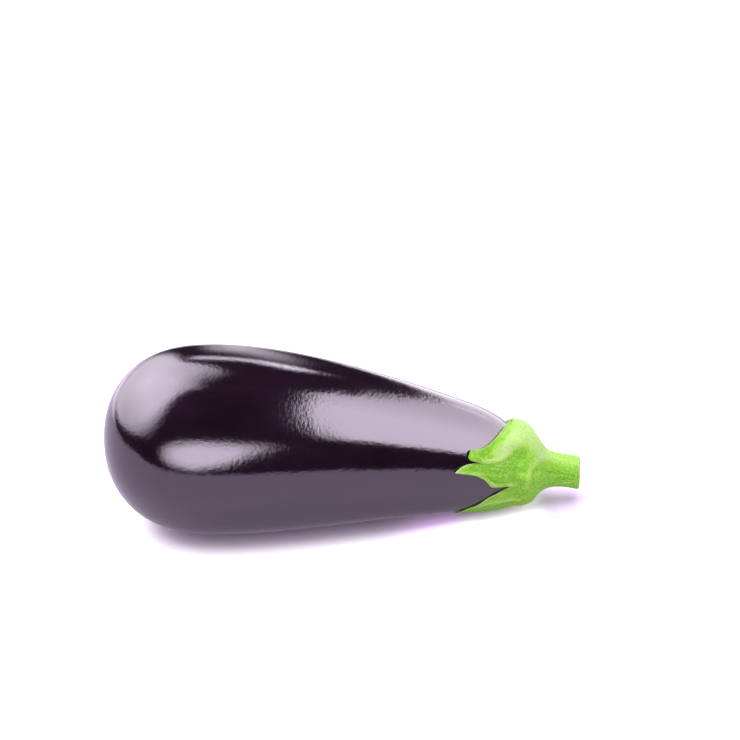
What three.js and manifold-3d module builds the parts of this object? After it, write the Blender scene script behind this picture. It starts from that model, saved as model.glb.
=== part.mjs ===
// A ripe globe eggplant, cut from the plant and laid on its side.
// Millimetres, +Z up. +X runs from the blossom end to the cut stem, and the fruit rests on a small
// flat spot under its weight. It has two pieces: the glossy fruit, and the green calyx that grips the
// fruit's shoulder, with its sepals and the cut stem grown on as one body.
import * as THREE from "three";
import { mergeVertices } from "three/addons/utils/BufferGeometryUtils.js";
import Module from "manifold-3d";

// The fruit. A station is a distance along X from the blossom end.
const BELLY_RADIUS = 45;
const BELLY_STATION = 53;
const FRUIT_LENGTH = 206;
const TAPER_SLOPE = 0.228; // radius lost for each mm along the neck
const TAPER_ONSET = 11.5; // how softly the belly turns into the neck
const BLOSSOM_FULLNESS = 3.1; // exponents of the rounded blossom end
const BLOSSOM_ROUNDNESS = 2.18;
const SHOULDER_STATION = 174; // where the fruit starts to close under the calyx
const SHOULDER_FULLNESS = 2.8;
const LEVEL_STATION = 12.5; // the centre line is level here and droops towards the stem
const DROOP = 0.00068; // drop of the centre line, per mm squared
const REST_DEPTH = 0.55; // how far its weight flattens the skin where it rests
const FRUIT_SIDES = 56;
const BLOSSOM_RINGS = 14;
const NECK_RINGS = 12;
const SHOULDER_RINGS = 7;

// The calyx and stem.
const SEPAL_GAP = 0.45; // clear space between the fruit and the sepals
const SEPAL_THICKNESS = 0.8; // at the edge of a sepal
const CAP_THICKNESS = 0.9; // where the sepals leave the cap
const BASE_STATION = 197; // the ring on the shoulder that the sepals grow from
const BASE_BLEND = 8; // length over which the cap runs into the sepals
const STEM_END = 229.8;
const STEM_RISE = 1.1; // the stem turns up a little towards its cut end
const STEM_CHAMFER = 0.9;
const CUT_SLANT = 0.22; // the cut face is turned a little, so its far side is longer
const DOME_STATION = 204; // the cap swells on top, above the end of the fruit
const DOME_REACH = 9.5;
const DOME_HEIGHT = 3.9;
const COLUMNS = 18; // columns of faces across a sepal
const SEPAL_ROWS = 10;
const LEAST_THICKNESS = 0.7; // of the flesh under the deepest hollow
const WAVE_HEIGHT = 0.45; // the edges of the sepals lift and dip by this much

// The outline of the cap and stem above the shoulder: [station, radius].
const CAP_OUTLINE = [
  [188, 22.5],
  [191, 21.5],
  [194.6, 20.6],
  [198.4, 19.6],
  [201.5, 18.4],
  [204.5, 16.7],
  [208, 12.9],
  [211.6, 10.3],
  [217, 8.6],
  [STEM_END, 8],
];
const CAP_RINGS = [225, 221, 217, 214, 211.5, 209.4, 207.4, 205.3, 203.2, 201.1, 199];

// The sepals, in order round the fruit. Angles are degrees about the fruit's centre line, 0 on the
// side towards -Y and 90 on top. Each edge runs from a notch to the tip, then back to the next notch,
// as [station, angle] points. The root is the angle on the base ring that its tip grows from, so that a
// sepal can lean. The pleat is the height of the fold along its middle, the lift is how far its tip
// stands off the fruit, and the bend is how late it leaves. The first sepal's end is blunt. The third
// and fourth lie flat, between the fruit and the surface under it.
const SEPALS = [
  {
    toTip: [[195.3, 112], [193, 92], [187.5, 64], [182.5, 47.5], [178.5, 38.5], [174.5, 34], [168.6, 30]],
    toNotch: [[168.6, 30], [168.8, 24.5], [173.5, 20.5], [179, 18.5]],
    root: 38,
    pleat: 1.7,
    lift: 1.4,
    bend: 2.6,
  },
  {
    toTip: [[179, 18.5], [173, 19.3], [166.5, 15.8], [161.6, 8.4]],
    toNotch: [[161.6, 8.4], [170.5, 7.6], [175.5, 4.6], [178.7, -1], [180, -6], [186, -5.6], [190.8, -6.8]],
    root: 6,
    pleat: 1.2,
    lift: 0.8,
    bend: 2,
  },
  {
    toTip: [[190.8, -6.8], [184.8, -14], [180, -21], [175.5, -32], [169.5, -45], [164.5, -62]],
    toNotch: [[164.5, -62], [171, -70], [178.5, -74], [184, -83], [191, -88]],
    root: -50,
    pleat: 0.6,
    lift: 0.2,
    bend: 2.4,
  },
  {
    toTip: [[191, -88], [184, -96], [178, -100], [170, -109], [161.5, -118]],
    toNotch: [[161.5, -118], [168, -124], [177, -129], [184.5, -132], [191.5, -140]],
    root: -114,
    pleat: 0.5,
    lift: 0.3,
    bend: 2,
  },
  {
    toTip: [[191.5, -140], [186, -150], [176, -155], [168, -158], [157.5, -169]],
    toNotch: [[157.5, -169], [166, -174], [174, -177], [183, -182], [191, -190]],
    root: -165,
    pleat: 1.1,
    lift: 2.4,
    bend: 2.2,
  },
  {
    toTip: [[191, -190], [184.5, -196], [178, -201], [169.5, -205], [160, -210]],
    toNotch: [[160, -210], [166, -214], [176, -216], [185, -219], [191, -223], [194.5, -231], [195.3, -248]],
    root: -212,
    pleat: 1.3,
    lift: 1.6,
    bend: 2.3,
  },
];

// The folds of the flesh, ridges and hollows: height, half width, and a line of [station, angle] points.
const FOLDS = [
  { height: -1.1, width: 1.5, line: [[175.5, 29.5], [178, 34.4], [181.3, 41.7], [184.9, 51.5], [189.1, 66.2], [191.5, 80]] },
  { height: 0.8, width: 2.6, line: [[198, 70], [195.5, 57.6], [192.1, 49.1], [189, 41]] },
  { height: 0.6, width: 1.1, line: [[190.5, 36], [188.8, 32.7], [184.9, 25.7], [179.8, 22.8], [176, 21.5]] },
  { height: -1.6, width: 2.6, line: [[197, 40], [195, 33]] },
  { height: -1.1, width: 2.2, line: [[195, 33], [193.2, 22.3], [192, 8]] },
  { height: 0.9, width: 1.5, line: [[213, 50], [208.9, 47], [204.7, 32.2], [200.7, 18.1], [199.2, 4.1], [199.3, -10]] },
  { height: -0.6, width: 1.5, line: [[170, 12.6], [177, 12.8], [182.1, 12.6], [188, 12]] },
  { height: 0.5, width: 0.9, line: [[181.5, -4.2], [185, -3.8], [190, -4.5], [194, -6]] },
  { height: 0.8, width: 1, line: [[176, -34], [180.7, -28], [184.2, -26.7], [188.4, -27.5], [192.3, -30.2], [196, -34]] },
  { height: -0.6, width: 1.5, line: [[178, -44], [186, -38], [192, -41]] },
  { height: -0.5, width: 2.2, line: [[211, 12], [229, 8]] },
  { height: 0.35, width: 0.9, line: [[213, -28], [229, -24]] },
  { height: 0.4, width: 1.3, line: [[212, 62], [229, 56]] },
  { height: -0.6, width: 1.6, line: [[194, -128], [178, -118]] },
  { height: -0.7, width: 1.8, line: [[206, -175], [198, -182], [190, -187]] },
  { height: 0.6, width: 1.4, line: [[204, -160], [192, -164], [178, -166], [166, -168]] },
  { height: 0.7, width: 1.5, line: [[204, -205], [192, -207], [178, -208], [166, -209]] },
  { height: -0.7, width: 1.8, line: [[206, -228], [198, -226], [190, -224]] },
  { height: 0.35, width: 0.9, line: [[213, -150], [229, -150]] },
  { height: 0.8, width: 4, line: [[201, -52], [193, -56]] },
];

// Where the rims of the sepals curl up from the fruit, in the same form.
const CURLS = [
  { height: 0.9, width: 1.2, line: [[174.5, 34.5], [178.5, 39.5], [182.5, 48.5], [187.5, 65], [192, 86]] },
  { height: 1.6, width: 0.9, line: [[192.6, 96], [193, 98]] },
  { height: 0.5, width: 0.9, line: [[170, 8], [176, 4], [179.5, -4]] },
  { height: 0.6, width: 1.2, line: [[186, -150], [176, -155], [168, -158]] },
  { height: 0.6, width: 1.2, line: [[176, -216], [185, -219]] },
];

// The skin and the green parts, as seen.
const skin = new THREE.MeshStandardMaterial({ color: 0x1f121d, roughness: 0.22, metalness: 0 });
const greens = new THREE.MeshStandardMaterial({ color: 0x86bd3e, roughness: 0.72, metalness: 0 });

const degrees = THREE.MathUtils.degToRad;
const lerp = THREE.MathUtils.lerp;
const smoothstep = THREE.MathUtils.smoothstep;

// The share of the full radius left at a distance 0..1 into a rounded end.
function roundedEnd(into, fullness, roundness) {
  return Math.pow(Math.max(0, 1 - Math.pow(into, fullness)), 1 / roundness);
}

function fruitRadius(station) {
  const past = station - BELLY_STATION;
  const taper = BELLY_RADIUS + TAPER_ONSET - Math.hypot(TAPER_ONSET, TAPER_SLOPE * past);
  const blossom = THREE.MathUtils.clamp(-past / BELLY_STATION, 0, 1);
  const shoulder = (station - SHOULDER_STATION) / (FRUIT_LENGTH - SHOULDER_STATION);
  return (
    taper *
    roundedEnd(blossom, BLOSSOM_FULLNESS, BLOSSOM_ROUNDNESS) *
    roundedEnd(THREE.MathUtils.clamp(shoulder, 0, 1), SHOULDER_FULLNESS, 2)
  );
}

// The station and radius of a point that stands off the skin, straight out from it.
function offSkin(station, distance) {
  const slope = (fruitRadius(station + 0.05) - fruitRadius(station - 0.05)) / 0.1;
  const tilt = Math.hypot(1, slope);
  return [station - (distance * slope) / tilt, fruitRadius(station) + distance / tilt];
}

function droop(station) {
  return -DROOP * Math.pow(station - LEVEL_STATION, 2);
}

// Stations from one end of the fruit to the other, closer together where the outline turns quickly.
function fruitStations() {
  const stations = [];
  for (let i = 0; i <= BLOSSOM_RINGS; i++) {
    stations.push(BELLY_STATION * (1 - Math.cos((i / BLOSSOM_RINGS) * (Math.PI / 2))));
  }
  for (let i = 1; i <= NECK_RINGS; i++) {
    stations.push(lerp(BELLY_STATION, SHOULDER_STATION, i / NECK_RINGS));
  }
  for (let i = 1; i <= SHOULDER_RINGS; i++) {
    const turn = Math.sin((i / SHOULDER_RINGS) * (Math.PI / 2));
    stations.push(lerp(SHOULDER_STATION, FRUIT_LENGTH, turn));
  }
  return stations;
}

// The height of the centre line over the surface that the fruit lies on.
const lowestSkin = Math.min(...fruitStations().map((s) => droop(s) - fruitRadius(s)));
function centreHeight(station) {
  return droop(station) - lowestSkin - REST_DEPTH;
}

// The point at a station, an angle round the centre line and a radius.
function around(station, angle, radius) {
  return new THREE.Vector3(
    station,
    -radius * Math.cos(angle),
    centreHeight(station) + radius * Math.sin(angle),
  );
}

// Turns a lathe blank into a closed body: place(column, ring) gives each vertex's place. The blank's
// first and last rings lie on its axis.
function bodyFromBlank(columns, rings, place) {
  const profile = [];
  for (let ring = 0; ring < rings; ring++) {
    profile.push(new THREE.Vector2(Math.sin((ring / (rings - 1)) * Math.PI), ring));
  }
  const blank = new THREE.LatheGeometry(profile, columns);
  const position = blank.getAttribute("position");
  for (let column = 0; column <= columns; column++) {
    for (let ring = 0; ring < rings; ring++) {
      const p = place(column % columns, ring);
      position.setXYZ(column * rings + ring, p.x, p.y, p.z);
    }
  }
  blank.deleteAttribute("normal");
  blank.deleteAttribute("uv");
  return mergeVertices(blank, 1e-4);
}

function fruitBody() {
  const stations = fruitStations();
  return bodyFromBlank(FRUIT_SIDES, stations.length, (column, ring) => {
    const onAxis = ring === 0 || ring === stations.length - 1;
    const angle = -(column / FRUIT_SIDES) * 2 * Math.PI;
    return around(stations[ring], onAxis ? 0 : angle, onAxis ? 0 : fruitRadius(stations[ring]));
  });
}

// The outside of the calyx and stem before its pleats: the fruit's own form under the sepals, running
// into the drawn outline over the shoulder.
const capOutline = new THREE.SplineCurve(CAP_OUTLINE.map(([s, r]) => new THREE.Vector2(s, r)));
const capSamples = capOutline.getPoints(200);
function drawnRadius(station) {
  const next = capSamples.findIndex((p) => p.x >= station);
  if (next < 1) return capSamples[next < 0 ? capSamples.length - 1 : 0].y;
  const [a, b] = [capSamples[next - 1], capSamples[next]];
  return lerp(a.y, b.y, (station - a.x) / (b.x - a.x));
}
function capRadius(station) {
  const blend = smoothstep(station, BASE_STATION - BASE_BLEND, BASE_STATION);
  const overFruit = fruitRadius(station) + SEPAL_GAP + CAP_THICKNESS;
  return blend === 0 ? overFruit : lerp(overFruit, drawnRadius(station), blend);
}
function stemRise(station) {
  return STEM_RISE * smoothstep(station, BASE_STATION + 10, STEM_END);
}
function dome(station, angle) {
  const along = Math.max(0, 1 - Math.pow((station - DOME_STATION) / DOME_REACH, 2));
  return DOME_HEIGHT * along * Math.pow(Math.max(0, Math.sin(angle)), 2);
}

// Evenly spaced points along one edge of a sepal, as chart points (station, angle).
const MM_PER_DEGREE = degrees(1) * 24; // round the neck, so that lengths on the chart are true
function edgePoints(points, count) {
  const curve = new THREE.CatmullRomCurve3(
    points.map(([s, a]) => new THREE.Vector3(s, a * MM_PER_DEGREE, 0)),
    false,
    "centripetal",
  );
  return curve.getSpacedPoints(count).map((p) => [p.x, p.y / MM_PER_DEGREE]);
}

// One column for each step round the calyx: where it leaves the base ring, where it meets the edge,
// and how far across its sepal it lies at both, from -1 at one notch to 1 at the next.
function calyxColumns() {
  const columns = [];
  for (const sepal of SEPALS) {
    const half = COLUMNS / 2;
    const edge = [...edgePoints(sepal.toTip, half), ...edgePoints(sepal.toNotch, half).slice(1)];
    const from = edge[0][1];
    const to = edge[COLUMNS][1];
    for (let i = 0; i < COLUMNS; i++) {
      const [station, angle] = edge[i];
      const across = (2 * i) / COLUMNS - 1;
      const baseAngle = across < 0 ? lerp(sepal.root, from, -across) : lerp(sepal.root, to, across);
      const acrossBase = (2 * (baseAngle - from)) / (to - from) - 1;
      columns.push({ sepal, station, angle, across, baseAngle, acrossBase });
    }
  }
  return columns;
}

// How high a column's pleat stands at a station: it runs out along the stem.
function pleat(column, station) {
  const crest = 0.5 + 0.5 * Math.cos(Math.PI * column.acrossBase);
  const onStem = smoothstep(station, BASE_STATION + 4, BASE_STATION + 18);
  return column.sepal.pleat * crest * lerp(1, 0.3, onStem);
}

// The height of the folds at a station and an angle in degrees.
function relief(station, angle, folds = FOLDS) {
  let total = 0;
  for (const { height, width, line } of folds) {
    let nearest = Infinity;
    for (let i = 0; i + 1 < line.length; i++) {
      const along = station - line[i][0];
      const roundIt = (THREE.MathUtils.euclideanModulo(angle - line[i][1] + 180, 360) - 180) * MM_PER_DEGREE;
      const run = line[i + 1][0] - line[i][0];
      const turn = (line[i + 1][1] - line[i][1]) * MM_PER_DEGREE;
      const share = THREE.MathUtils.clamp((along * run + roundIt * turn) / (run * run + turn * turn), 0, 1);
      nearest = Math.min(nearest, Math.hypot(along - share * run, roundIt - share * turn));
    }
    total += height * Math.exp(-Math.pow(nearest / width, 2));
  }
  return total;
}

// How far a sepal stands off the fruit at a share 0..1 of the way from the base ring to its edge.
function standOff(column, share) {
  const reach = Math.pow(1 - Math.abs(column.across), 0.8);
  const lift = column.sepal.lift * Math.pow(share * reach, column.sepal.bend);
  const wave = WAVE_HEIGHT * share * Math.abs(column.across) * Math.sin(7 * column.across + column.station);
  const station = lerp(BASE_STATION, column.station, share);
  const angle = lerp(column.baseAngle, column.angle, share);
  return Math.max(0, lift + wave) + relief(station, angle, CURLS);
}

function calyxBody() {
  const columns = calyxColumns();
  const rings = [];
  // The cut face and the stem, then the cap down to the base ring.
  const stemPoint = (c, station, inset) => {
    const angle = degrees(c.baseAngle);
    const swell = pleat(c, station) + dome(station, angle) + relief(station, c.baseAngle);
    const radius = capRadius(station) + swell - inset;
    const slant = CUT_SLANT * smoothstep(station, STEM_END - 8, STEM_END);
    const point = around(station, angle, radius);
    return point.add(new THREE.Vector3(-slant * radius * Math.cos(angle), 0, stemRise(station)));
  };
  rings.push((c) => around(STEM_END, 0, 0).add(new THREE.Vector3(0, 0, STEM_RISE)));
  rings.push((c) => stemPoint(c, STEM_END, STEM_CHAMFER));
  for (const station of [STEM_END - STEM_CHAMFER, ...CAP_RINGS]) {
    rings.push((c) => stemPoint(c, station, 0));
  }
  // The outside of the sepals, from the base ring to the edge.
  const sepalPoint = (c, share, thickness) => {
    const station = lerp(BASE_STATION, c.station, share);
    const angle = degrees(lerp(c.baseAngle, c.angle, share));
    return [angle, ...offSkin(station, SEPAL_GAP + thickness + standOff(c, share))];
  };
  for (let row = 0; row <= SEPAL_ROWS; row++) {
    const share = row / SEPAL_ROWS;
    rings.push((c) => {
      const [angle, station, radius] = sepalPoint(c, share, SEPAL_THICKNESS);
      const capStation = lerp(BASE_STATION, c.station, share);
      const swell = pleat(c, capStation) + dome(capStation, angle);
      const body = capRadius(capStation) + swell * (1 - share);
      const onEdge = share * share * (3 - 2 * share);
      const plain = lerp(body + standOff(c, share), radius, onEdge);
      const folds = relief(capStation, lerp(c.baseAngle, c.angle, share)) * (1 - Math.pow(share, 8));
      const least = fruitRadius(capStation) + SEPAL_GAP + LEAST_THICKNESS + standOff(c, share);
      return around(lerp(capStation, station, onEdge), angle, Math.max(least, plain + folds));
    });
  }
  // The inside of the sepals, back to the base ring.
  for (let row = SEPAL_ROWS; row >= 0; row--) {
    rings.push((c) => {
      const [angle, station, radius] = sepalPoint(c, row / SEPAL_ROWS, 0);
      return around(station, angle, radius);
    });
  }
  // The inside of the cap, over the end of the fruit.
  for (const stop of fruitStations().filter((s) => s > BASE_STATION + 1 && s < FRUIT_LENGTH)) {
    const [station, radius] = offSkin(stop, SEPAL_GAP);
    rings.push((c) => around(station, degrees(c.baseAngle), radius));
  }
  rings.push((c) => around(FRUIT_LENGTH + SEPAL_GAP, 0, 0));
  rings.reverse(); // so that its faces point outwards
  return bodyFromBlank(columns.length, rings.length, (column, ring) => rings[ring](columns[column]));
}

const wasm = await Module();
wasm.setup();

function solid(geometry) {
  return new wasm.Manifold(
    new wasm.Mesh({
      numProp: 3,
      vertProperties: new Float32Array(geometry.getAttribute("position").array),
      triVerts: new Uint32Array(geometry.index.array),
    }),
  );
}

function geometryOf(manifold) {
  const { vertProperties, triVerts } = manifold.getMesh();
  const geometry = new THREE.BufferGeometry();
  geometry.setAttribute("position", new THREE.BufferAttribute(vertProperties, 3));
  geometry.setIndex(new THREE.BufferAttribute(triVerts, 1));
  geometry.computeVertexNormals();
  return geometry;
}

function closedBox(x, y, z) {
  const box = new THREE.BoxGeometry(x, y, z);
  box.deleteAttribute("normal");
  box.deleteAttribute("uv");
  return mergeVertices(box);
}

// The surface flattens the skin a little where the fruit rests on it.
function restingFruit() {
  const surface = closedBox(2 * FRUIT_LENGTH, 4 * BELLY_RADIUS, 20).translate(FRUIT_LENGTH / 2, 0, -10);
  return geometryOf(solid(fruitBody()).subtract(solid(surface)));
}

const fruit = new THREE.Mesh(restingFruit(), skin);
fruit.name = "fruit";
const calyx = new THREE.Mesh(geometryOf(solid(calyxBody())), greens);
calyx.name = "calyx";

// The origin is under the middle of the whole, on the surface that it rests on.
const eggplant = new THREE.Group();
eggplant.add(fruit, calyx);
const bounds = new THREE.Box3().setFromObject(eggplant);
const middle = bounds.getCenter(new THREE.Vector3());
eggplant.position.set(-middle.x, -middle.y, 0);

export default eggplant;
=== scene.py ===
# A ripe eggplant lying on its side: a glossy, nearly black purple fruit, and a green calyx with a cut
# stem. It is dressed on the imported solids, in their frame: metres, +X to the stem, +Z up.
import math

import bmesh
import bpy
import numpy as np
from mathutils import Matrix, Vector


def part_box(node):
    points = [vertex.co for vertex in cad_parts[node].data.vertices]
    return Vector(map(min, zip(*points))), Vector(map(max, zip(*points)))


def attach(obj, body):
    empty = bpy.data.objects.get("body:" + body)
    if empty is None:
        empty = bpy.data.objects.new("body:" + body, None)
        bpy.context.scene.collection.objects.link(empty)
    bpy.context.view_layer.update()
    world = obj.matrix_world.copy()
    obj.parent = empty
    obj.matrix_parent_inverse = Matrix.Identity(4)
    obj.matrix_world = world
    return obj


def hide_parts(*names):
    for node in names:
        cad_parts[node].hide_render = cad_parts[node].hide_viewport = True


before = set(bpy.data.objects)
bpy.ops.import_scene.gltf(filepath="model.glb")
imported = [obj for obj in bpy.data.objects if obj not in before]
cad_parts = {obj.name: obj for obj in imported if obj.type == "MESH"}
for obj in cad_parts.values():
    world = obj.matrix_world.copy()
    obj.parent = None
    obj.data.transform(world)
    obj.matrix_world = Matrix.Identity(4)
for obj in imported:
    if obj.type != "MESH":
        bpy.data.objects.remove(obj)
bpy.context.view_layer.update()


# The camera. It looks down on the fruit from the side, a little from the blossom end.
MM = 0.001
BLOSSOM_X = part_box("fruit")[0].x  # stations are measured along +X from here
CAMERA_ANGLE = math.radians(-7)  # to the left, from straight beside the fruit
CAMERA_RISE = math.radians(25)
CAMERA_DISTANCE = 839.4 * MM
LENS = 85
SENSOR_WIDTH = 36
AIM_STATION = 112  # the point beside which the camera aims
AIM_HEIGHT = 30
AIM_RIGHT = 13.86  # and how far beside it, in the picture
AIM_UP = 43.0

towards_camera = Vector(
    (
        math.sin(CAMERA_ANGLE) * math.cos(CAMERA_RISE),
        -math.cos(CAMERA_ANGLE) * math.cos(CAMERA_RISE),
        math.sin(CAMERA_RISE),
    )
)
camera_right = Vector((math.cos(CAMERA_ANGLE), math.sin(CAMERA_ANGLE), 0))
camera_up = towards_camera.cross(camera_right)
aim = Vector((BLOSSOM_X + AIM_STATION * MM, 0, AIM_HEIGHT * MM))
aim += (AIM_RIGHT * camera_right + AIM_UP * camera_up) * MM
camera = bpy.data.objects.new("camera", bpy.data.cameras.new("camera"))
bpy.context.scene.collection.objects.link(camera)
camera.data.lens = LENS
camera.data.sensor_width = SENSOR_WIDTH
camera.data.clip_start = 0.01
camera.matrix_world = Matrix.Translation(aim + towards_camera * CAMERA_DISTANCE) @ Matrix(
    (camera_right, camera_up, towards_camera)
).transposed().to_4x4()
bpy.context.scene.camera = camera
bpy.context.scene.view_settings.view_transform = "Standard"


# The floor: a white table of flat sheets. Only the sheet near the fruit shows in the glossy skin, so that
# the skin mirrors the studio down to its lower edge. First come the small functions that every material
# below is made with.
def linear(hex_colour):
    """An sRGB colour such as "#80ff00", as linear red, green, blue and alpha."""
    channels = [int(hex_colour[i : i + 2], 16) / 255 for i in (1, 3, 5)]
    return [c / 12.92 if c <= 0.04045 else ((c + 0.055) / 1.055) ** 2.4 for c in channels] + [1.0]


def add_node(tree, kind, inputs=None, **settings):
    """Adds a shader node with its settings. An input is a value, or the socket that it is linked to."""
    new = tree.nodes.new("ShaderNode" + kind)
    for name, value in settings.items():
        setattr(new, name, value)
    for name, value in (inputs or {}).items():
        if isinstance(value, bpy.types.NodeSocket):
            tree.links.new(value, new.inputs[name])
        else:
            new.inputs[name].default_value = value
    return new


def new_material(name):
    """A material with an empty node tree, and that tree."""
    material = bpy.data.materials.new(name)
    material.use_nodes = True
    material.node_tree.nodes.clear()
    return material, material.node_tree


def surface(tree, shader):
    """Makes this shader the surface of the material."""
    add_node(tree, "OutputMaterial", {"Surface": shader.outputs[0]})


def calculate(operation, *values):
    """The result of a math node in the tree at hand, for numbers or sockets."""
    return add_node(tree, "Math", dict(enumerate(values)), operation=operation).outputs[0]


def fade(value, low, high):
    """Rises smoothly from 0 to 1 as the value goes from low to high."""
    inputs = {"Value": value, "From Min": low, "From Max": high}
    return add_node(tree, "MapRange", inputs, interpolation_type="SMOOTHSTEP").outputs[0]


def ramp(value, low, high, top=1.0):
    """Rises evenly from 0 to the top value as the value goes from low to high."""
    inputs = {"Value": value, "From Min": low, "From Max": high, "To Max": top}
    return add_node(tree, "MapRange", inputs).outputs[0]


def blend(factor, below, above):
    """A mix of two colours, each a socket, a linear colour or an sRGB hex colour."""
    inputs = {"Factor": factor}
    for slot, colour in ((COLOUR_BELOW, below), (COLOUR_ABOVE, above)):
        inputs[slot] = linear(colour) if isinstance(colour, str) else colour
    return add_node(tree, "Mix", inputs, data_type="RGBA").outputs[COLOUR_RESULT]


COLOUR_BELOW = 6  # a Mix node's sockets for its colours
COLOUR_ABOVE = 7
COLOUR_RESULT = 2

TABLE_FRONT = -0.21
TABLE_SPAN = 0.9
FLOOR_SPAN = 9.0
CALYX_X = (0.01, 0.055)  # where the table starts to look paler near the calyx, and where it fully does
STEM_X = (0.08, 0.1)  # the same for the painted shadow of the stem, which darkens the table from the stem on
SHADOW_REACH = 0.06
SHADOW_DEPTH = (0.08, 0.34)  # the open share of the sky, deep in a shadow and at its edge

# How bright the table looks to the camera: in the painted shadow under the fruit, and clear of it, then the
# same at the calyx.
UNDER_FRUIT = (1.05, 0.95, 1.06, 1.0)
CLEAR_OF_FRUIT = (2.1, 2.15, 2.08, 1.0)
UNDER_CALYX = (2.85, 2.2, 3.1, 1.0)
CLEAR_OF_CALYX = (3.9, 3.3, 4.5, 1.0)
STEM_SHARE = 0.3  # of that brightness is left from the stem on, in the painted shadow of the stem

# How the skin sees the table: its glow, and the glow that a patch of it adds, which starts behind the
# line and to the left of the end.
TABLE_GLOW = 0.3
PATCH_GLOW = 1.6
PATCH_LINE = (0.19, 0.25)
PATCH_SLANT = 0.3
PATCH_END = (-0.2, -0.27)

# White laminate, with soft lavender shadows, cast by the lamps and partly painted. To the camera its
# brightness is scaled by how much of the sky is open over it, which paints the shadow deeper close under
# the fruit and paler and lavender under the calyx, and it is scaled down from the stem on, which paints a
# shadow of the stem; a faint glow lifts its deepest shade. The camera sees it brighter than the skin
# mirrors it, paler under the calyx than under the belly. In the skin it looks even, with a brighter patch
# far to the left, and on the calyx it throws a plain pale light.
white_table, tree = new_material("white_table_laminate")
lit = add_node(tree, "BsdfDiffuse", {"Color": linear("#ddd4e0")})
place = add_node(tree, "SeparateXYZ", {0: add_node(tree, "TexCoord").outputs["Object"]}).outputs
by_calyx = fade(place["X"], *CALYX_X)
# Painted shadow: the less of the sky is open over a spot, the darker the camera sees it.
sky = add_node(tree, "AmbientOcclusion", {"Distance": SHADOW_REACH}, samples=16).outputs["AO"]
under = blend(by_calyx, UNDER_FRUIT, UNDER_CALYX)
clear = blend(by_calyx, CLEAR_OF_FRUIT, CLEAR_OF_CALYX)
gain = blend(fade(sky, *SHADOW_DEPTH), under, clear)
# A painted shadow of the stem: from the stem on, only a share of this brightness is left.
painted_stem_shadow = calculate("MULTIPLY_ADD", fade(place["X"], *STEM_X), STEM_SHARE - 1, 1)
gain = add_node(tree, "VectorMath", {0: gain, "Scale": painted_stem_shadow}, operation="SCALE")
bright = add_node(tree, "BsdfDiffuse", {"Color": gain.outputs[0]})
faint = add_node(tree, "Emission", {"Color": linear("#e4d6ea"), "Strength": 0.03})
bright = add_node(tree, "AddShader", {0: bright.outputs[0], 1: faint.outputs[0]})
past_line = ramp(calculate("MULTIPLY_ADD", place["X"], PATCH_SLANT, place["Y"]), *PATCH_LINE)
past_end = ramp(place["X"], *PATCH_END, PATCH_GLOW)
far_left = calculate("MULTIPLY_ADD", past_line, past_end, TABLE_GLOW)
even = add_node(tree, "Emission", {"Color": linear("#eedff4"), "Strength": far_left})
dim = add_node(tree, "BsdfDiffuse", {"Color": linear("#ddd0e3")})
even = add_node(tree, "AddShader", {0: even.outputs[0], 1: dim.outputs[0]})
rays = add_node(tree, "LightPath").outputs
sheen = add_node(tree, "MixShader", {0: rays["Is Glossy Ray"], 1: lit.outputs[0], 2: even.outputs[0]})
table_top = {0: rays["Is Camera Ray"], 1: sheen.outputs[0], 2: bright.outputs[0]}
surface(tree, add_node(tree, "MixShader", table_top))


def lay_table(name, low_x, high_x, low_y, high_y):
    """Adds one flat sheet of the table."""
    bpy.ops.object.select_all(action="DESELECT")
    bpy.ops.mesh.primitive_plane_add(size=1, location=((low_x + high_x) / 2, (low_y + high_y) / 2, 0))
    sheet = bpy.context.object
    sheet.name = name
    sheet.scale = (high_x - low_x, high_y - low_y, 1)
    bpy.ops.object.transform_apply(location=True, rotation=True, scale=True)
    sheet.data.materials.append(white_table)
    return sheet


lay_table("table_near", -TABLE_SPAN, TABLE_SPAN, TABLE_FRONT, TABLE_SPAN)
for name, *edges in (
    ("table_front", -FLOOR_SPAN, FLOOR_SPAN, -FLOOR_SPAN, TABLE_FRONT),
    ("table_back", -FLOOR_SPAN, FLOOR_SPAN, TABLE_SPAN, FLOOR_SPAN),
    ("table_left", -FLOOR_SPAN, -TABLE_SPAN, TABLE_FRONT, TABLE_SPAN),
    ("table_right", TABLE_SPAN, FLOOR_SPAN, TABLE_FRONT, TABLE_SPAN),
):
    lay_table(name, *edges).visible_glossy = False


# The light. Broad daylight from above, which the table and the calyx show, and a studio round the fruit
# that only its glossy skin mirrors: large soft boxes on the left and on the right, a small one beside
# the camera, and a lit wall behind with a thin strip along its top and a lamp on its right.
SUN_STRENGTH = 2.35
SUN_WIDTH = 60  # in degrees, like all the angles of the light
SUN_FORWARD = 6  # from straight above, towards the camera
SUN_LEFT = 12

sun = bpy.data.objects.new("soft_daylight", bpy.data.lights.new("soft_daylight", "SUN"))
bpy.context.scene.collection.objects.link(sun)
sun.data.energy = SUN_STRENGTH
sun.data.angle = math.radians(SUN_WIDTH)
sun.rotation_euler = (math.radians(SUN_FORWARD), math.radians(-SUN_LEFT), 0)
sun.visible_glossy = False

world = bpy.data.worlds.new("studio")
bpy.context.scene.world = world
world.use_nodes = True
tree = world.node_tree
tree.nodes.clear()


def lens(along, up, middle, size, power):
    """A rounded patch of directions: its value grows from 0 at the middle to 1 at its edge."""
    total = 0
    for value, centre, half in zip((along, up), middle, size):
        share = calculate("DIVIDE", calculate("SUBTRACT", value, centre), half)
        total = calculate("ADD", total, calculate("POWER", calculate("ABSOLUTE", share), power))
    return total


def unless(*masks):
    """1 where no mask is 1."""
    total = 1
    for mask in masks:
        total = calculate("MULTIPLY", total, calculate("SUBTRACT", 1, mask))
    return total


def slanted(value, slope, other):
    """The other value, raised by the slope for each degree of this one: masks of it have slanted edges."""
    return calculate("MULTIPLY_ADD", value, slope, other)


def partly(mask, share):
    """A mask that takes away no more than this share."""
    return calculate("MULTIPLY", mask, share)


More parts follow.
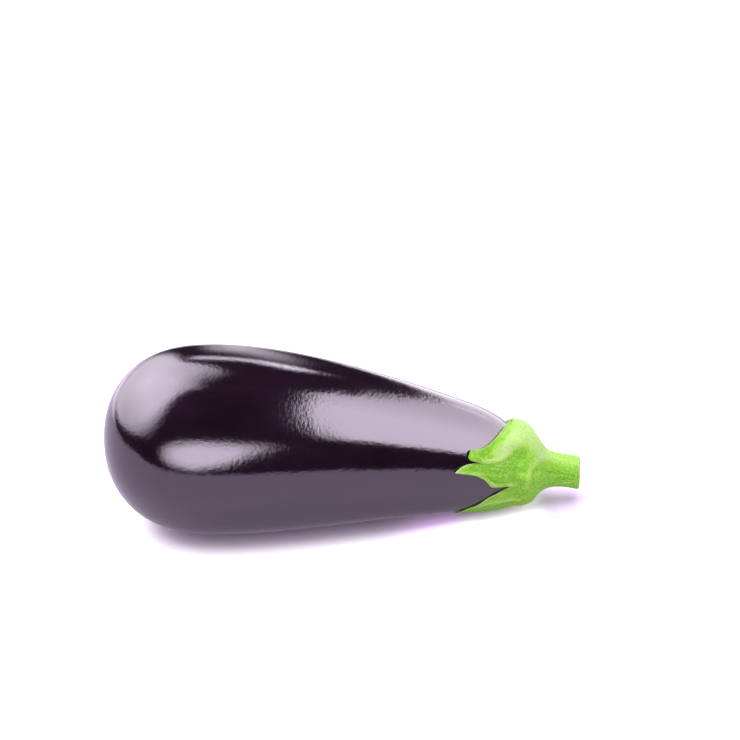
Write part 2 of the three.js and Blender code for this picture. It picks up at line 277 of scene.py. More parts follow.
# Directions in degrees: to the right of the camera's side of the fruit, to the left of straight behind it,
# and up. They stay where they are when the camera moves.
gaze = add_node(tree, "TexCoord").outputs["Generated"]
gaze = add_node(tree, "VectorRotate", {"Vector": gaze, "Angle": -CAMERA_ANGLE}, rotation_type="Z_AXIS")
gaze = add_node(tree, "SeparateXYZ", {"Vector": gaze.outputs[0]}).outputs
right = calculate("ARCTAN2", gaze["X"], calculate("MULTIPLY", gaze["Y"], -1))
right = calculate("DEGREES", right)
behind = calculate("ARCTAN2", calculate("MULTIPLY", gaze["X"], -1), gaze["Y"])
behind = calculate("DEGREES", behind)
rise = calculate("DEGREES", calculate("ARCSINE", gaze["Z"]))

# The left box: a tall round screen, brightest on the side towards the camera, with a dark post behind.
# Its directions are measured from its own middle.
LEFT_BOX_TURN = 125
across = calculate("WRAP", calculate("ADD", right, LEFT_BOX_TURN), 180, -180)
left_box = unless(
    fade(lens(across, rise, (0, 47), (70, 56), 2), 0.5, 1.45),
    unless(fade(slanted(across, -0.25, rise), -4.2, 1.8)),
    partly(fade(rise, 64, 92), 0.6),
    partly(unless(fade(rise, 2, 48)), 0.5),
    partly(unless(ramp(across, -60, 0)), 0.5),
    calculate("MULTIPLY", fade(across, -35, -43), fade(slanted(across, 0.8, rise), 15, 8)),
)
# The right box: a wide arch, cut off on slants and dimmer towards the back.
right_box = unless(
    fade(lens(right, rise, (109, 10), (69, 52.5), 3), 0.88, 1.12),
    fade(slanted(right, 0.62, rise), 127, 133),
    unless(fade(slanted(right, 0.6, rise), 47, 55)),
    fade(slanted(rise, 0.75, right), 170.5, 174.5),
    partly(ramp(right, 80, 150), 0.5),
)
# The lamp: a short bright bar that shows along the top of the neck.
LAMP_RISE = 25.5
from_lamp = calculate("ABSOLUTE", calculate("SUBTRACT", rise, LAMP_RISE))
lamp = unless(fade(from_lamp, 1, 3.5), fade(behind, -29, -25), fade(behind, -33, -42))
# The front box: small and soft, cut off on its right.
front_box = unless(
    fade(lens(right, rise, (0, 6), (35, 18.5), 2), 0.05, 1.4),
    fade(slanted(rise, -0.7, right), 8.5, 18.5),
)
# The strip: thin and slanted, dimmer on its left and ending sharply on its right.
STRIP_RISE = 38.4
from_strip = calculate("ABSOLUTE", calculate("SUBTRACT", slanted(behind, 0.12, rise), STRIP_RISE))
strip = unless(
    fade(from_strip, 1.5, 4.5),
    fade(behind, 4, 14),
    fade(behind, -19, -24),
    partly(fade(behind, -16, -6), 0.35),
)
# The wall behind: dim, and narrower towards its top.
wall_side = slanted(calculate("MAXIMUM", rise, 0), 0.42, behind)
wall = unless(fade(wall_side, 4, -3), fade(behind, 1, 7), fade(slanted(behind, 0.8, rise), 14, 32))

GLOWS = (
    (left_box, 7.5),
    (right_box, 7.4),
    (front_box, 7.4),
    (strip, 7.5),
    (wall, 1.9),
    (lamp, 1.7),
)
glow = 0
for patch, brightness in GLOWS:
    glow = calculate("MULTIPLY_ADD", patch, brightness, glow)
glow = calculate("ADD", glow, 0.03)
mirrored = add_node(tree, "Background", {"Color": linear("#f4e9f8"), "Strength": glow})
diffused = add_node(tree, "Background", {"Color": linear("#e9d8f2"), "Strength": 0.8})
seen = add_node(tree, "Background", {"Color": linear("#ffffff"), "Strength": 1.0})
rays = add_node(tree, "LightPath").outputs
room = {0: rays["Is Glossy Ray"], 1: diffused.outputs[0], 2: mirrored.outputs[0]}
room = add_node(tree, "MixShader", room)
room = {0: rays["Is Camera Ray"], 1: room.outputs[0], 2: seen.outputs[0]}
room = add_node(tree, "MixShader", room)
add_node(tree, "OutputWorld", {"Surface": room.outputs[0]})


# The fruit: one smooth body, round about a centre line that droops towards the stem. It grew as one
# piece. Its waxy skin is nearly black and very glossy, with the faint orange peel of living skin.
BELLY_RADIUS = 45
BELLY_STATION = 53
FRUIT_LENGTH = 206
TAPER_SLOPE = 0.228  # radius lost for each mm along the neck
TAPER_ONSET = 11.5
BLOSSOM_FULLNESS = 3.1
BLOSSOM_ROUNDNESS = 2.18
SHOULDER_STATION = 174
SHOULDER_FULLNESS = 2.8
LEVEL_STATION = 12.5
DROOP = 0.00068  # drop of the centre line, per mm squared
REST_DEPTH = 0.55  # how far its weight flattens the skin
FRUIT_SIDES = 96
BLOSSOM_RINGS = 26
NECK_RINGS = 36
SHOULDER_RINGS = 13


def fruit_radius(station):
    """The radius of the fruit at a distance from the blossom end, both in mm."""
    past = station - BELLY_STATION
    radius = BELLY_RADIUS + TAPER_ONSET - np.hypot(TAPER_ONSET, TAPER_SLOPE * past)
    blossom = np.clip(-past / BELLY_STATION, 0, 1)
    shoulder = np.clip((station - SHOULDER_STATION) / (FRUIT_LENGTH - SHOULDER_STATION), 0, 1)
    radius = radius * (1 - blossom**BLOSSOM_FULLNESS) ** (1 / BLOSSOM_ROUNDNESS)
    return radius * (1 - shoulder**SHOULDER_FULLNESS) ** 0.5


def droop(station):
    """How far the centre line lies above its height at the level station, in mm."""
    return -DROOP * (station - LEVEL_STATION) ** 2


all_stations = np.linspace(0, FRUIT_LENGTH, 2000)
lowest_skin = (droop(all_stations) - fruit_radius(all_stations)).min()


def centre_height(station):
    """The height of the centre line over the table."""
    return droop(station) - lowest_skin - REST_DEPTH


blossom_turns = np.linspace(0, math.pi / 2, BLOSSOM_RINGS + 1)[1:]
shoulder_turns = np.linspace(0, math.pi / 2, SHOULDER_RINGS + 2)[1:-1]
stations = np.concatenate(
    (
        BELLY_STATION * (1 - np.cos(blossom_turns)),
        np.linspace(BELLY_STATION, SHOULDER_STATION, NECK_RINGS + 1)[1:],
        SHOULDER_STATION + (FRUIT_LENGTH - SHOULDER_STATION) * np.sin(shoulder_turns),
    )
)


def centre_point(station):
    return Vector((BLOSSOM_X + station * MM, 0, centre_height(station) * MM))


bpy.ops.object.select_all(action="DESELECT")
bpy.ops.mesh.primitive_circle_add(
    vertices=FRUIT_SIDES,
    radius=fruit_radius(stations[0]) * MM,
    fill_type="NOTHING",
    location=centre_point(stations[0]),
    rotation=(0, math.pi / 2, 0),
)
fruit = bpy.context.object
fruit.name = "glossy_fruit"
bpy.ops.object.transform_apply(location=True, rotation=True, scale=True)
bpy.ops.object.mode_set(mode="EDIT")
bpy.ops.mesh.extrude_region_move(
    TRANSFORM_OT_translate={"value": centre_point(0) - centre_point(stations[0])}
)
bpy.ops.mesh.merge(type="CENTER")
mesh = bmesh.from_edit_mesh(fruit.data)
for vertex in mesh.verts:
    vertex.select = vertex.co.x > BLOSSOM_X + 0.5 * stations[0] * MM
mesh.select_flush_mode()
bmesh.update_edit_mesh(fruit.data)
for here, there in zip(stations, stations[1:]):
    bpy.ops.mesh.extrude_region_move(
        TRANSFORM_OT_translate={"value": centre_point(there) - centre_point(here)}
    )
    growth = fruit_radius(there) / fruit_radius(here)
    bpy.ops.transform.resize(value=(1, growth, growth), center_override=centre_point(there))
bpy.ops.mesh.extrude_region_move(
    TRANSFORM_OT_translate={"value": centre_point(FRUIT_LENGTH) - centre_point(stations[-1])}
)
bpy.ops.mesh.merge(type="CENTER")
bpy.ops.mesh.select_all(action="SELECT")
bpy.ops.mesh.normals_make_consistent(inside=False)
bpy.ops.object.mode_set(mode="OBJECT")
smoothing = fruit.modifiers.new("smoothing", "SUBSURF")
smoothing.levels = smoothing.render_levels = 1
bpy.ops.object.modifier_apply(modifier=smoothing.name)
bpy.ops.object.shade_smooth()

# The skin is flat where the fruit rests.
bpy.ops.object.mode_set(mode="EDIT")
bpy.ops.mesh.select_all(action="DESELECT")
mesh = bmesh.from_edit_mesh(fruit.data)
for vertex in mesh.verts:
    vertex.select = vertex.co.z < 0
mesh.select_flush_mode()
bmesh.update_edit_mesh(fruit.data)
bpy.ops.transform.resize(value=(1, 1, 0), center_override=(0, 0, 0))
bpy.ops.object.mode_set(mode="OBJECT")

# Eggplant skin: a clear waxy cuticle over deep purple cells, in long blotches 11 mm wide that hardly
# differ. Mirror-like, with ragged soft edges to what it mirrors, because the cells make it uneven.
waxy_skin, tree = new_material("waxy_eggplant_skin")
place = add_node(tree, "TexCoord").outputs["Object"]
stretched = add_node(tree, "Mapping", {"Vector": place, "Scale": (0.35, 1, 1)}).outputs[0]
blotches = add_node(tree, "TexNoise", {"Vector": stretched, "Scale": 90, "Detail": 4, "Roughness": 0.55})
tint = blend(ramp(blotches.outputs["Fac"], 0.35, 0.7), "#150a14", "#22101f")
dents = add_node(tree, "TexNoise", {"Vector": place, "Scale": 70, "Detail": 1})  # hollows 14 mm wide
peel = add_node(tree, "TexNoise", {"Vector": place, "Scale": 600, "Detail": 2})  # ripples 1.7 mm wide
cells = add_node(tree, "TexNoise", {"Vector": place, "Scale": 2200, "Detail": 1})  # grains 0.5 mm wide
uneven = add_node(tree, "Bump", {"Height": dents.outputs["Fac"], "Distance": 0.0004, "Strength": 0.3})
peeled = add_node(
    tree,
    "Bump",
    {"Height": peel.outputs["Fac"], "Distance": 0.0001, "Strength": 0.5, "Normal": uneven.outputs[0]},
)
grained = add_node(
    tree,
    "Bump",
    {"Height": cells.outputs["Fac"], "Distance": 0.00002, "Strength": 0.6, "Normal": peeled.outputs[0]},
)
surface(
    tree,
    add_node(
        tree,
        "BsdfPrincipled",
        {
            "Base Color": tint,
            "Roughness": 0.1,
            "IOR": 1.8,
            "Specular Tint": linear("#fbf7ff"),
            "Normal": grained.outputs[0],
        },
    ),
)
fruit.data.materials.append(waxy_skin)
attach(fruit, "root")
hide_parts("fruit")


# The calyx: the green cap that grips the shoulder, its six pointed sepals and the cut stem, grown as one
# piece. The flesh is matt and finely downy, with pale edges, and pleats run from the stem into the sepals.
SEPAL_GAP = 0.45
EDGE_CLOSING = 0.85  # the share of that gap that closes towards the edge of a sepal
SEPAL_THICKNESS = 0.7
CAP_THICKNESS = 0.8
BASE_STATION = 197  # the sepals grow from this ring on the shoulder
BASE_BLEND = 8
STEM_END = 229.8
STEM_RISE = 1.1
STEM_CHAMFER = 0.9
CUT_SLANT = 0.22
DOME_STATION = 204
DOME_REACH = 9.5
DOME_HEIGHT = 3.9
WAVE_HEIGHT = 0.45  # the edges of the sepals wave up and down
WAVE_RATE = 7
TIP_REACH = 0.8  # how far to its sides the lift of a tip reaches: less is farther
PLEAT_LOSS = 0.7  # the share of a pleat that is gone on the stem
PALE_PLAIN = 0.15  # shares of pale: of plain flesh, then of painted light on the upper side, for 1 mm of relief (painted shade where it sinks), on the hump
PAINTED_LIGHT_ON_TOP = 0.5
PAINTED_LIGHT_PER_MM_RELIEF = 0.6
PAINTED_LIGHT_ON_HUMP = 0.35
NECK_RADIUS = 24  # what lengths round the neck are reckoned on
COLUMNS = 30  # columns of faces across a sepal
STEM_ROWS = 26
OUTSIDE_ROWS = 44
INSIDE_ROWS = 24
LINING_TURNS = (0.84, 1.5)  # the part of the shoulder's curve that the calyx is closed over inside
LINING_ROWS = 9
CUT_RINGS = (0.35, 0.62, 0.8, 0.92, 1.0)  # on the cut face, as shares of its radius
FOLD_RADIUS = 0.65  # how tightly the first sepal's tip is folded back on itself
CREASE_ANGLE = 26  # the crease is bowed, so that it is furthest out here
CREASE_BOW = 0.07
CREASE_DEPTH = 1.8
FLAP_DROOP = 0.12  # the folded tip leans back onto the sepal
CAP_OUTLINE = (
    (188, 22.5), (191, 21.5), (194.6, 20.6), (198.4, 19.6), (201.5, 18.4), (204.5, 16.7), (208, 12.9),
    (211.6, 10.3), (217, 8.6), (STEM_END, 8),
)
# Each sepal: its edge from a notch to the tip, its edge from the tip to the next notch, as stations and
# degrees round the fruit, then the height of its pleat, how far its tip lifts, how late it lifts, and
# the station that its tip is folded back at. Last comes the angle on the base ring that its tip grows from.
SEPALS = (
    (
        ((195.3, 112), (193, 92), (187.5, 64), (182.5, 47.5), (178.5, 38.5), (174.5, 33.6),
         (170.5, 30.5), (167.5, 30.2), (165, 29.8), (162.9, 28.2), (160.6, 24.8), (159.6, 21.3)),
        ((159.6, 21.3), (164, 21.2), (168.6, 21.6), (173.5, 20), (179, 18.5)),
        1.7, 0.6, 2.6, 168.6, 34,
    ),
    (
        ((179, 18.5), (173, 19.3), (166.5, 15.8), (161.6, 8.4)),
        ((161.6, 8.4), (170.5, 7.6), (175.5, 4.6), (178.7, -1), (180, -6), (186, -5.6), (190.8, -6.8)),
        1.2, 0.8, 2, 0, 6,
    ),
    (
        ((190.8, -6.8), (184.8, -14), (180, -21), (175.5, -32), (169.5, -45), (164.5, -62)),
        ((164.5, -62), (171, -70), (178.5, -74), (184, -83), (191, -88)),
        0.6, 0.2, 2.4, 0, -50,
    ),
    (
        ((191, -88), (184, -96), (178, -100), (170, -109), (161.5, -118)),
        ((161.5, -118), (168, -124), (177, -129), (184.5, -132), (191.5, -140)),
        0.5, 0.3, 2, 0, -114,
    ),
    (
        ((191.5, -140), (186, -150), (176, -155), (168, -158), (157.5, -169)),
        ((157.5, -169), (166, -174), (174, -177), (183, -182), (191, -190)),
        1.1, 2.4, 2.2, 0, -165,
    ),
    (
        ((191, -190), (184.5, -196), (178, -201), (169.5, -205), (160, -210)),
        ((160, -210), (166, -214), (176, -216), (185, -219), (191, -223), (194.5, -231), (195.3, -248)),
        1.3, 1.6, 2.3, 0, -212,
    ),
)


# Each fold of the flesh: its height in mm, its half width in mm, and its line, as stations and degrees.
FOLDS = (
    (-0.85, 1.2, ((175.5, 29.5), (178, 34.4), (181.3, 41.7), (184.9, 51.5), (189.1, 66.2), (191.5, 80))),
    (0.8, 2.6, ((198, 70), (195.5, 57.6), (192.1, 49.1), (189, 41))),
    (0.6, 1.1, ((190.5, 36), (188.8, 32.7), (184.9, 25.7), (179.8, 22.8), (176, 21.5))),
    (-1.6, 2.6, ((197, 40), (195, 33))),
    (-1.1, 2.2, ((195, 33), (193.2, 22.3), (192, 8))),
    (0.9, 1.5, ((213, 50), (208.9, 47), (204.7, 32.2), (200.7, 18.1), (199.2, 4.1), (199.3, -10))),
    (-0.6, 1.5, ((170, 12.6), (177, 12.8), (182.1, 12.6), (188, 12))),
    (0.5, 0.9, ((181.5, -4.2), (185, -3.8), (190, -4.5), (194, -6))),
    (1.1, 1.0, ((176, -34), (180.7, -28), (184.2, -26.7), (188.4, -27.5), (192.3, -30.2), (196, -34))),
    (-0.8, 1.5, ((178, -44), (186, -38), (192, -41))),
    (-0.5, 2.2, ((211, 12), (229, 8))),
    (0.35, 0.9, ((213, -28), (229, -24))),
    (0.4, 1.3, ((212, 62), (229, 56))),
    (-0.6, 1.6, ((194, -128), (178, -118))),
    (-0.7, 1.8, ((206, -175), (198, -182), (190, -187))),
    (0.6, 1.4, ((204, -160), (192, -164), (178, -166), (166, -168))),
    (0.7, 1.5, ((204, -205), (192, -207), (178, -208), (166, -209))),
    (-0.7, 1.8, ((206, -228), (198, -226), (190, -224))),
    (0.35, 0.9, ((213, -150), (229, -150))),
    (0.8, 4.0, ((201, -52), (193, -56))),
    (0.45, 0.8, ((170, 10.4), (174.6, 10), (177.5, 8.6), (180.1, 5.8), (182.1, 4), (184.7, 3), (188, 2.8))),
    (-0.8, 0.8, ((178.5, 6.2), (180.1, 3.4), (181.7, 0.8), (183.8, -0.6), (187.5, -0.2))),
)


# Where the rims of the sepals curl up from the fruit, in the same form.
LIFTS = (
    (0.6, 1.2, ((174.5, 34.5), (178.5, 39.5), (182.5, 48.5), (187.5, 65), (192, 86))),
    (0.8, 2.5, ((191, 82), (195, 108))),
    (2.0, 0.9, ((192.4, 95), (192.8, 97))),
    (0.3, 0.9, ((170, 8), (176, 4), (179.5, -4))),
    (0.6, 1.2, ((186, -150), (176, -155), (168, -158))),
    (0.6, 1.2, ((176, -216), (185, -219))),
)

# Where the flesh is drawn paler or deeper, in the same form, with shares of pale for heights: pale rims of
# the sepals, painted light along ridges and over the first sepal, and painted shade along its crease.
TINTS_AND_PAINTED_LIGHT = (
    (0.15, 6, ((178, 38), (186, 52), (192, 72))),
    (0.4, 1.5, ((173, 32), (176.5, 35), (179.5, 40), (184, 50), (188.5, 64), (193, 88))),
    (-0.45, 0.9, ((174, 28.6), (179, 33.4), (182.3, 40), (185.8, 48), (189.6, 59), (192.6, 72))),
    (0.45, 2.6, ((183.5, 33), (188, 36.5), (191, 46), (193, 58))),
    (0.5, 0.9, ((175.2, 21.4), (179.7, 23.4), (184, 26), (187, 29.5))),
    (0.6, 1.2, ((162.5, 9.6), (165.3, 13.2), (168, 16.6))),
    (0.55, 0.8, ((163.2, 8.9), (167.6, 9.4), (172, 8.6), (174.5, 7.4), (177, 5), (179.4, 1.6), (181, -3))),
    (0.5, 0.7, ((180.4, 1.4), (181.8, -1.6), (183.8, -2.8), (187.4, -2.4), (191, -3.4))),
    (0.7, 0.8, ((180.5, -40.7), (183.5, -32.7), (185.8, -28.8), (188.4, -28.2), (191.7, -29.9))),
    (0.3, 2.0, ((199, -29), (201.5, -20))),
)


def smoothstep(value, low, high):
    """Rises smoothly from 0 to 1 as the value goes from low to high."""
    share = np.clip((value - low) / (high - low), 0, 1)
    return share * share * (3 - 2 * share)


STEPS_BETWEEN = 24


def curve_through(points, count):
    """Evenly spaced points on a smooth curve through these points, with no overshoot at sharp turns."""
    points = np.array(points, float)
    padded = np.vstack((2 * points[0] - points[1], points, 2 * points[-1] - points[-2]))
    dense = []
    for p0, p1, p2, p3 in zip(padded, padded[1:], padded[2:], padded[3:]):
        t0 = 0.0
        t1 = t0 + np.linalg.norm(p1 - p0) ** 0.5
        t2 = t1 + np.linalg.norm(p2 - p1) ** 0.5
        t3 = t2 + np.linalg.norm(p3 - p2) ** 0.5
        for t in np.linspace(t1, t2, STEPS_BETWEEN, endpoint=False):
            a1 = (t1 - t) / (t1 - t0) * p0 + (t - t0) / (t1 - t0) * p1
            a2 = (t2 - t) / (t2 - t1) * p1 + (t - t1) / (t2 - t1) * p2
            a3 = (t3 - t) / (t3 - t2) * p2 + (t - t2) / (t3 - t2) * p3
            b1 = (t2 - t) / (t2 - t0) * a1 + (t - t0) / (t2 - t0) * a2
            b2 = (t3 - t) / (t3 - t1) * a2 + (t - t1) / (t3 - t1) * a3
            dense.append((t2 - t) / (t2 - t1) * b1 + (t - t1) / (t2 - t1) * b2)
    dense = np.array(dense + [points[-1]])
    run = np.concatenate(([0], np.cumsum(np.linalg.norm(np.diff(dense, axis=0), axis=1))))
    places = np.linspace(0, run[-1], count)
    return np.stack([np.interp(places, run, dense[:, k]) for k in range(dense.shape[1])], axis=1)


cap_curve = curve_through(CAP_OUTLINE, 300)


def off_skin(station, distance):
    """The station and radius of a point that stands straight off the skin."""
    slope = (fruit_radius(station + 0.05) - fruit_radius(station - 0.05)) / 0.1
    tilt = np.hypot(1, slope)
    return station - distance * slope / tilt, fruit_radius(station) + distance / tilt


MM_PER_DEGREE = math.radians(NECK_RADIUS)
columns = []
for to_tip, to_notch, *form, root in SEPALS:
    scale = np.array((1, MM_PER_DEGREE))
    half = COLUMNS // 2
    first = curve_through(np.array(to_tip) * scale, half + 1) / scale
    second = curve_through(np.array(to_notch) * scale, half + 1) / scale
    edge = np.vstack((first, second[1:]))
    start, end = edge[0, 1], edge[-1, 1]
    for i in range(COLUMNS):
        base_angle = np.interp(i, (0, half, COLUMNS), (start, root, end))
        across_base = 2 * (base_angle - start) / (end - start) - 1
        columns.append((edge[i, 0], edge[i, 1], 2 * i / COLUMNS - 1, base_angle, across_base, *form))
edge_station, edge_angle, across, base_angle, across_base, pleat, lift, bend, fold = np.array(columns).T


def around(station, angle, radius):
    """Points at a station, an angle in degrees round the centre line and a radius."""
    station, angle, radius = np.broadcast_arrays(station, np.radians(angle), radius)
    return np.stack(
        (
            BLOSSOM_X + station * MM,
            -radius * np.cos(angle) * MM,
            (centre_height(station) + radius * np.sin(angle)) * MM,
        ),
        axis=1,
    )


def cap_radius(station):
    """The radius of the cap and the stem: over the fruit at first, then along the outline."""
    past = smoothstep(station, BASE_STATION - BASE_BLEND, BASE_STATION)
    over_fruit = fruit_radius(np.minimum(station, FRUIT_LENGTH)) + SEPAL_GAP + CAP_THICKNESS
    return over_fruit * (1 - past) + np.interp(station, cap_curve[:, 0], cap_curve[:, 1]) * past


def dome(station, angle):
    """The height of the hump on the upper side of the cap, in mm."""
    along = np.maximum(0, 1 - ((station - DOME_STATION) / DOME_REACH) ** 2)
    return DOME_HEIGHT * along * np.maximum(0, np.sin(np.radians(angle))) ** 2


def pleat_height(station):
    """The height of the pleats, each highest along the middle of its sepal and lower on the stem."""
    crest = 0.5 + 0.5 * np.cos(math.pi * across_base)
    on_stem = smoothstep(station, BASE_STATION + 4, BASE_STATION + 18)
    return pleat * crest * (1 - PLEAT_LOSS * on_stem)


def stand_off(share):
    """How far the sepals stand off the fruit, at a share of the way from the base ring to the edge."""
    reach = (1 - np.abs(across)) ** TIP_REACH
    raised = lift * (share * reach) ** bend
    wave = WAVE_HEIGHT * share * np.abs(across) * np.sin(WAVE_RATE * across + edge_station)
    return np.maximum(0, raised + wave)


def relief(station, angle, folds=FOLDS):
    """The height of the folds at these stations and angles, in mm."""
    station, angle = np.broadcast_arrays(np.array(station, float), angle)
    total = np.zeros(station.shape)
    for height, width, line in folds:
        nearest = np.full(station.shape, np.inf)
        for (s0, a0), (s1, a1) in zip(line, line[1:]):
            along = station - s0
            round_it = ((angle - a0 + 180) % 360 - 180) * MM_PER_DEGREE
            run = np.array((s1 - s0, (a1 - a0) * MM_PER_DEGREE))
            share = np.clip((along * run[0] + round_it * run[1]) / (run @ run), 0, 1)
            nearest = np.minimum(nearest, np.hypot(along - share * run[0], round_it - share * run[1]))
        total = total + height * np.exp(-((nearest / width) ** 2))
    return total


def paleness_and_painted_light(station, angle):
    """How pale the flesh is drawn: plain flesh and tints, with painted light on the upper side, on the
    ridges and on the hump, and painted shade in the folds.
    """
    upper = smoothstep(np.sin(np.radians(angle)), 0.35, 0.9)
    lit_hump = dome(station, angle) / DOME_HEIGHT
    share = PALE_PLAIN + PAINTED_LIGHT_ON_TOP * upper + PAINTED_LIGHT_PER_MM_RELIEF * relief(station, angle) + PAINTED_LIGHT_ON_HUMP * lit_hump
    return np.clip(share + relief(station, angle, TINTS_AND_PAINTED_LIGHT), 0, 1)


def stem_ring(station, inset):
    """One ring of the cap or the stem. It is set in by the inset, and slanted at the cut."""
    radius = cap_radius(station) + pleat_height(station) + dome(station, base_angle) - inset
    radius = radius + relief(station, base_angle)
    slant = CUT_SLANT * smoothstep(station, STEM_END - 8, STEM_END)
    ring = around(station, base_angle, radius)
    ring[:, 0] -= slant * radius * np.cos(np.radians(base_angle)) * MM
    ring[:, 2] += STEM_RISE * smoothstep(station, BASE_STATION + 10, STEM_END) * MM
    return ring


def cut_ring(share):
    """One ring on the cut face, at a share of its radius."""
    centre = stem_ring(STEM_END, STEM_CHAMFER).mean(axis=0)
    return centre + (stem_ring(STEM_END, STEM_CHAMFER) - centre) * share


def sepal_place(share):
    """The stations and angles of a ring, at a share of the way from the base ring to the edge."""
    station = BASE_STATION + (edge_station - BASE_STATION) * share
    return station, base_angle + (edge_angle - base_angle) * share


def sepal_ring(share, outside):
    """One ring of the sepals, on their outside or inside, at a share of the way to their edge."""
    station, angle = sepal_place(share)
    bow = np.minimum(CREASE_DEPTH, CREASE_BOW * (angle - CREASE_ANGLE) ** 2)
    crease = np.where(fold > 0, fold + bow, 0)
    fold_share = (BASE_STATION - crease) / (BASE_STATION - edge_station)
    height = SEPAL_GAP * (1 - EDGE_CLOSING * share) + stand_off(np.minimum(share, fold_share))
    height += relief(station, angle, LIFTS)
    side = 1 if outside else -1
    past = np.maximum(0, crease - station)
    turn = np.clip(past / FOLD_RADIUS, 0, math.pi)
    flap = np.maximum(0, past - FOLD_RADIUS * math.pi)
    half = SEPAL_THICKNESS / 2
    folded_station = crease + flap + (side * half - FOLD_RADIUS) * np.sin(turn)
    folded_height = height + half + FOLD_RADIUS * (1 - np.cos(turn)) - FLAP_DROOP * flap
    folded_height += side * half * np.cos(turn)
    folded = np.stack(off_skin(folded_station, folded_height))
    if outside:
        flat = np.stack(off_skin(station, height + SEPAL_THICKNESS))
        swell = pleat_height(station) + dome(station, angle)
        body = np.stack((station, cap_radius(station) + swell * (1 - share) + height - SEPAL_GAP))
        flat = body + (flat - body) * smoothstep(share, 0, 1)
        lowest = fruit_radius(station) + height + SEPAL_THICKNESS
        flat[1] = np.maximum(lowest, flat[1] + relief(station, angle) * (1 - share**8))
    else:
        flat = np.stack(off_skin(station, height))
    placed = np.where(past > 0, folded, flat)
    return around(placed[0], angle, placed[1])


# Each ring of the calyx, from the cut face over the outside to the sepals' edge, and back inside, with
# its share of the way to the edge, its share of the cut face and how pale it is drawn, painted light and
# shade included.
rings = []
PLAIN = np.zeros(len(columns))
for share in CUT_RINGS:
    rings.append((cut_ring(share), 0.0, share, PLAIN))
rings.append((stem_ring(STEM_END - 0.35 * STEM_CHAMFER, 0.3 * STEM_CHAMFER), 0.0, 0.4, PLAIN + 0.6))
for station in (STEM_END - STEM_CHAMFER, *np.linspace(STEM_END - 2.2, BASE_STATION + 0.8, STEM_ROWS)):
    rings.append((stem_ring(station, 0), 0.0, 0.0, paleness_and_painted_light(station, base_angle)))
for share in np.linspace(0, 1, OUTSIDE_ROWS + 1):
    rings.append((sepal_ring(share, True), share, 0.0, paleness_and_painted_light(*sepal_place(share))))
for share in np.linspace(1, 0, INSIDE_ROWS + 1):
    rings.append((sepal_ring(share, False), share, 0.0, PLAIN + 0.3))
lining_turns = np.linspace(*LINING_TURNS, LINING_ROWS)
for station in SHOULDER_STATION + (FRUIT_LENGTH - SHOULDER_STATION) * np.sin(lining_turns):
    off_station, off_radius = off_skin(station, SEPAL_GAP)
    rings.append((around(off_station, base_angle, off_radius), 0.0, 0.0, PLAIN))

bpy.ops.object.select_all(action="DESELECT")
bpy.ops.mesh.primitive_circle_add(vertices=len(columns), radius=0.001, fill_type="NOTHING")
calyx = bpy.context.object
calyx.name = "green_calyx"
bpy.ops.object.mode_set(mode="EDIT")
mesh = bmesh.from_edit_mesh(calyx.data)
column_of = mesh.verts.layers.int.new("column")
edge_share = mesh.verts.layers.float.new("edge_share")
cut_share = mesh.verts.layers.float.new("cut_share")
# How pale each point is drawn: pale flesh, with painted light on the upper side, the ridges and the hump,
# and painted shade in the folds.
pale_and_painted_light = mesh.verts.layers.float.new("pale_and_painted_light")
for i, vertex in enumerate(sorted(mesh.verts, key=lambda v: math.atan2(v.co.y, v.co.x))):
    vertex[column_of] = i


def lay_ring(points, share, cut, pale_with_painted_light):
    """Lays the selected ring of the calyx on these points."""
    mesh = bmesh.from_edit_mesh(calyx.data)
    column_of = mesh.verts.layers.int["column"]
    edge_share = mesh.verts.layers.float["edge_share"]
    cut_share = mesh.verts.layers.float["cut_share"]
    pale_and_painted_light = mesh.verts.layers.float["pale_and_painted_light"]
    for vertex in mesh.verts:
        if vertex.select:
            vertex.co = points[vertex[column_of]]
            vertex[edge_share] = share
            vertex[cut_share] = cut
            vertex[pale_and_painted_light] = pale_with_painted_light[vertex[column_of]]
    bmesh.update_edit_mesh(calyx.data)


bpy.ops.mesh.select_all(action="SELECT")
lay_ring(*rings[0])
for ring in rings[1:]:
    bpy.ops.mesh.extrude_region_move()
    lay_ring(*ring)
bpy.ops.mesh.extrude_region_move()
bpy.ops.mesh.merge(type="CENTER")

# The middle of the cut face, which is still open, is closed in the same way.
bpy.ops.mesh.select_all(action="DESELECT")
mesh = bmesh.from_edit_mesh(calyx.data)
for edge in mesh.edges:
    if edge.is_boundary:
        edge.select = True
bmesh.update_edit_mesh(calyx.data)
bpy.ops.mesh.extrude_region_move()
bpy.ops.mesh.merge(type="CENTER")
bpy.ops.mesh.select_all(action="SELECT")
bpy.ops.mesh.normals_make_consistent(inside=False)
bpy.ops.object.mode_set(mode="OBJECT")
smoothing = calyx.modifiers.new("smoothing", "SUBSURF")
smoothing.levels = smoothing.render_levels = 1
bpy.ops.object.modifier_apply(modifier=smoothing.name)
bpy.ops.object.shade_smooth()
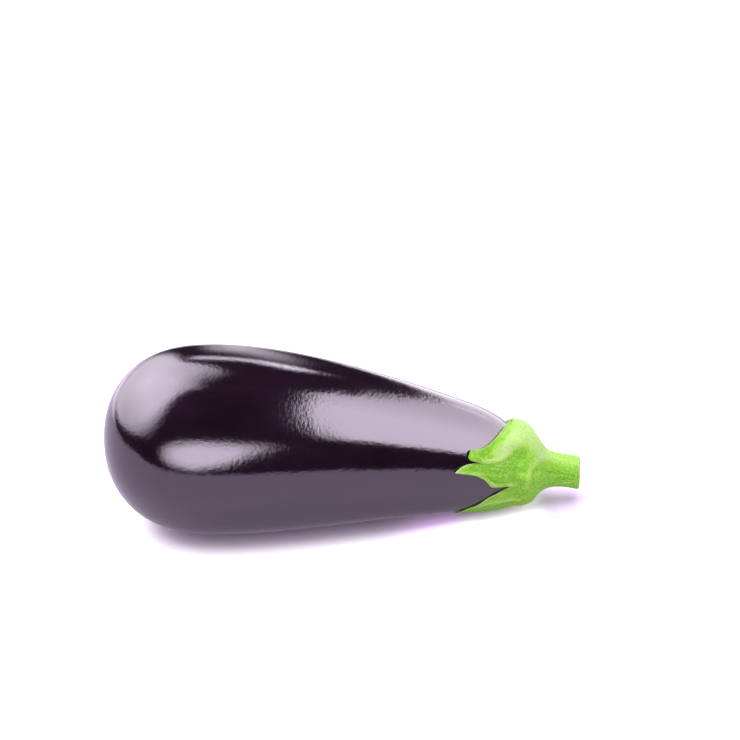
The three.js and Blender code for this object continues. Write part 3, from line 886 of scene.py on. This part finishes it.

# Fresh calyx flesh: matt, with painted shade that deepens its green in the hollows and painted light that
# makes it pale on the ridges, the upper side and the hump, with down that catches the light in pale specks,
# and faint fibres that run from the stem to the tips. The rims of the sepals are pale. The cut face is
# moist: a green heart in pale pith, inside a greener ring.
calyx_flesh, tree = new_material("downy_calyx_flesh")
place = add_node(tree, "TexCoord").outputs["Object"]
along = add_node(tree, "Mapping", {"Vector": place, "Scale": (0.16, 1, 1)}).outputs[0]
fibres = add_node(tree, "TexNoise", {"Vector": along, "Scale": 600, "Detail": 3})  # 1.7 mm wide, 10 mm long
fibres = fibres.outputs["Fac"]
mottle = add_node(tree, "TexNoise", {"Vector": place, "Scale": 220, "Detail": 3})  # patches 4.5 mm wide
mottle = mottle.outputs["Fac"]
down = {"Vector": place, "Scale": 1500, "Detail": 2, "Roughness": 0.7}  # specks 0.7 mm wide
down = add_node(tree, "TexNoise", down).outputs["Fac"]
light_and_tone = add_node(tree, "Attribute", attribute_name="pale_and_painted_light").outputs["Fac"]
edge = add_node(tree, "Attribute", attribute_name="edge_share").outputs["Fac"]
cut = add_node(tree, "Attribute", attribute_name="cut_share").outputs["Fac"]

MOTTLE_SHARE = 0.7
# Painted light and shade: the pale share, made uneven by the mottle, turns the green from deep in the
# hollows to pale on the ridges and the upper side.
mottled_light_and_tone = calculate("MULTIPLY_ADD", mottle, MOTTLE_SHARE, light_and_tone)
mottled_light_and_tone = calculate("SUBTRACT", mottled_light_and_tone, MOTTLE_SHARE / 2)
flesh = blend(ramp(mottled_light_and_tone, 0.0, 0.6), "#70c000", "#97d930")
flesh = blend(ramp(mottled_light_and_tone, 0.5, 0.95), flesh, "#b9e482")
flesh = blend(ramp(fibres, 0.5, 0.75, 0.45), flesh, "#b2e766")
flesh = blend(ramp(down, 0.5, 0.72, 0.65), flesh, "#d3f2a6")
flesh = blend(ramp(down, 0.47, 0.3, 0.5), flesh, "#67b000")
flesh = blend(ramp(edge, 0.9, 0.945, 0.2), flesh, "#68ad0c")
flesh = blend(ramp(edge, 0.955, 0.985, 0.65), flesh, "#c4e58c")
face = blend(ramp(cut, 0.36, 0.55), "#8fc255", "#cdeba6")
face = blend(ramp(cut, 0.68, 0.85), face, "#a3d069")
face = blend(ramp(cut, 0.9, 0.95), face, "#c4e693")
flesh = blend(ramp(cut, 0.3, 0.35), flesh, face)
soft = add_node(tree, "Bump", {"Height": fibres, "Distance": 0.0003, "Strength": 0.4})
downy = {"Height": down, "Distance": 0.00015, "Strength": 0.7, "Normal": soft.outputs[0]}
downy = add_node(tree, "Bump", downy)
surface(
    tree,
    add_node(
        tree,
        "BsdfPrincipled",
        {
            "Base Color": flesh,
            "Roughness": 0.65,
            "IOR": 1.45,
            "Specular IOR Level": 0.3,
            "Normal": downy.outputs[0],
        },
    ),
)
calyx.data.materials.append(calyx_flesh)
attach(calyx, "root")
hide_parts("calyx")
